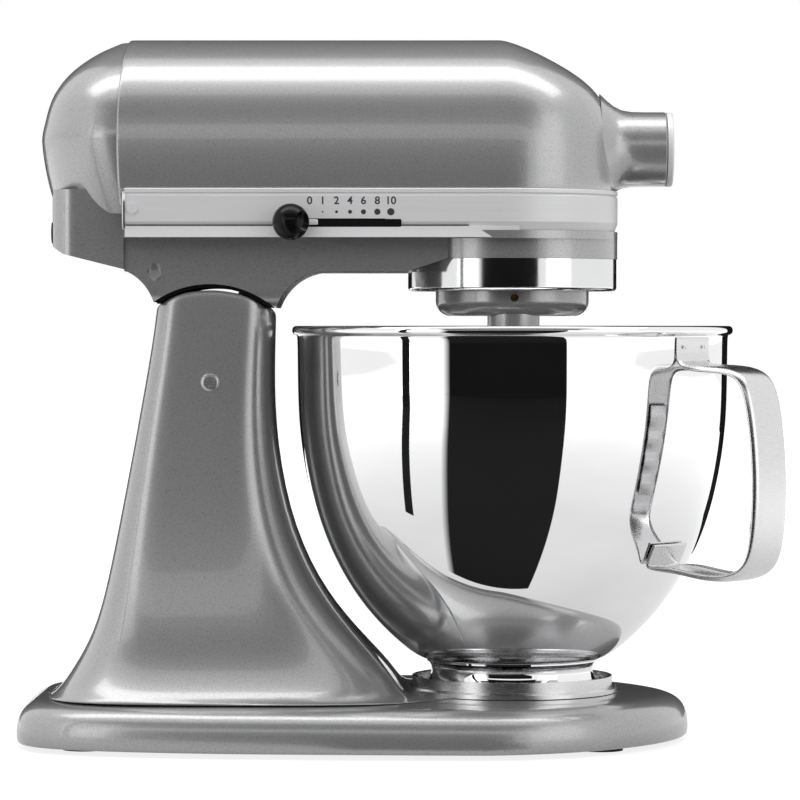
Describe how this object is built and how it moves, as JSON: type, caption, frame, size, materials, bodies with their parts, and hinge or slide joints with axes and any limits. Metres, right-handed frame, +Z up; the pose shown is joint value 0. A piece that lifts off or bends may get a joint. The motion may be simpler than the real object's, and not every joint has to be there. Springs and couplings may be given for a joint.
{
  "type": "stand mixer",
  "caption": "Tilt-head kitchen stand mixer with a planetary beater drive, a front attachment hub and a polished steel bowl with a strap handle.",
  "frame": {"origin": "on the worktop plane, on the vertical axis that the bowl and the planetary drive share, at the centre foot's sole", "axes": "+X forwards, out of the attachment hub; +Z up; +Y to the side of the locking lever"},
  "size_m": [0.3805, 0.2226, 0.3527],
  "materials": {
    "paint": "metallic grey clear-coated enamel",
    "chrome": "polished chrome plate",
    "polished_steel": "mirror-polished stainless steel",
    "brushed_steel": "brushed stainless steel",
    "brushed_trim": "brushed, anodised",
    "steel": "machined",
    "aluminium": "die cast",
    "bronze": "sintered",
    "copper": "enamelled wire",
    "black_plastic": "gloss black",
    "dark_plastic": "matte moulding",
    "rubber": "matte",
    "carbon": "pressed carbon"
  },
  "bodies": {
    "stand": {"base_casting": "paint", "base_feet": "rubber", "bowl_clamp_plate": "chrome", "clamp_plate_screws": "steel", "hinge_pin": "chrome", "hinge_pin_set_screw": "steel"},
    "bowl": {"bowl": "polished_steel", "bowl_foot_ring": "polished_steel", "bowl_handle": "brushed_steel"},
    "head": {"head_upper_housing": "paint", "head_lower_housing": "paint", "neck_screw": "steel", "rear_cover": "paint", "rear_cover_screw": "steel", "cord_grommet": "rubber", "trim_band": "brushed_trim", "trim_band_screws": "chrome", "drip_ring": "chrome", "ring_gear": "steel", "centre_shaft_bearing": "steel", "gearcase_bracket": "aluminium", "rear_bearing_bracket": "aluminium", "armature_bearings": "steel", "brush_holders": "bronze", "carbon_brushes": "carbon", "brush_springs": "steel", "field_core": "steel", "field_coils": "copper", "hub_bearing_sleeve": "bronze", "speed_control_plate": "dark_plastic", "housing_screws": "steel"},
    "hub_cover": {"hub_cover": "chrome"},
    "attachment_screw": {"attachment_screw": "steel"},
    "attachment_knob": {"attachment_knob": "black_plastic"},
    "speed_lever": {"speed_lever": "steel", "speed_knob": "black_plastic"},
    "lock_lever": {"lock_lever": "steel", "lock_lever_knob": "black_plastic"},
    "planetary": {"planetary_housing": "paint", "agitator_bush": "bronze", "planetary_pin": "steel", "centre_shaft": "steel", "centre_gear": "steel", "centre_bevel_gear": "steel"},
    "agitator": {"agitator_shaft": "steel", "agitator_pin": "steel", "planet_pinion": "steel"},
    "worm_wheel": {"worm_wheel_shaft": "steel", "worm_wheel": "bronze", "drive_pinion": "steel"},
    "hub_drive": {"hub_drive_shaft": "steel", "hub_bevel_gear": "steel"},
    "armature": {"armature_shaft": "steel", "armature_core": "steel", "armature_windings": "copper", "commutator": "copper", "cooling_fan": "dark_plastic"}
  },
  "joints": [
    {"name": "head_tilt", "type": "hinge", "parent": "stand", "child": "head", "pos_m": [-0.1506, 0, 0.1806], "axis": [0, -1, 0], "range_deg": [0, 45]},
    {"name": "bowl_twist", "type": "hinge", "parent": "stand", "child": "bowl", "pos_m": [0, 0, 0.03], "axis": [0, 0, 1], "range_deg": [0, 24]},
    {"name": "speed_slide", "type": "slide", "parent": "head", "child": "speed_lever", "axis": [1, 0, 0], "range_m": [0, 0.041]},
    {"name": "lock_slide", "type": "slide", "parent": "head", "child": "lock_lever", "axis": [1, 0, 0], "range_m": [0, 0.01]},
    {"name": "hub_cover_pull", "type": "slide", "parent": "head", "child": "hub_cover", "axis": [1, 0, 0], "range_m": [0, 0.025]},
    {"name": "attachment_knob_turn", "type": "hinge", "parent": "attachment_screw", "child": "attachment_knob", "pos_m": [0.064, 0.03, 0.2975], "axis": [0, 1, 0], "range_deg": [0, 1445]},
    {"name": "attachment_screw_feed", "type": "slide", "parent": "head", "child": "attachment_screw", "axis": [0, 1, 0], "range_m": [0, 0.006]},
    {"name": "motor_spin", "type": "hinge", "parent": "head", "child": "armature", "pos_m": [-0.128, 0, 0.2975], "axis": [1, 0, 0], "continuous": true},
    {"name": "worm_wheel_spin", "type": "hinge", "parent": "head", "child": "worm_wheel", "pos_m": [-0.03162, 0.0245, 0.285], "axis": [0, 0, 1], "continuous": true},
    {"name": "planetary_spin", "type": "hinge", "parent": "head", "child": "planetary", "pos_m": [0, 0, 0.23], "axis": [0, 0, -1], "continuous": true},
    {"name": "agitator_spin", "type": "hinge", "parent": "planetary", "child": "agitator", "pos_m": [0, -0.0225, 0.23], "axis": [0, 0, -1], "continuous": true},
    {"name": "hub_drive_spin", "type": "hinge", "parent": "head", "child": "hub_drive", "pos_m": [0.02, 0, 0.2975], "axis": [1, 0, 0], "continuous": true}
  ],
  "couplings": [
    {"joint": "worm_wheel_spin", "follows": "motor_spin", "ratio": 0.125},
    {"joint": "planetary_spin", "follows": "motor_spin", "ratio": 0.041667},
    {"joint": "agitator_spin", "follows": "motor_spin", "ratio": -0.14881},
    {"joint": "hub_drive_spin", "follows": "motor_spin", "ratio": -0.041667},
    {"joint": "attachment_knob_turn", "follows": "attachment_screw_feed", "rad_per_m": 4188.8}
  ]
}
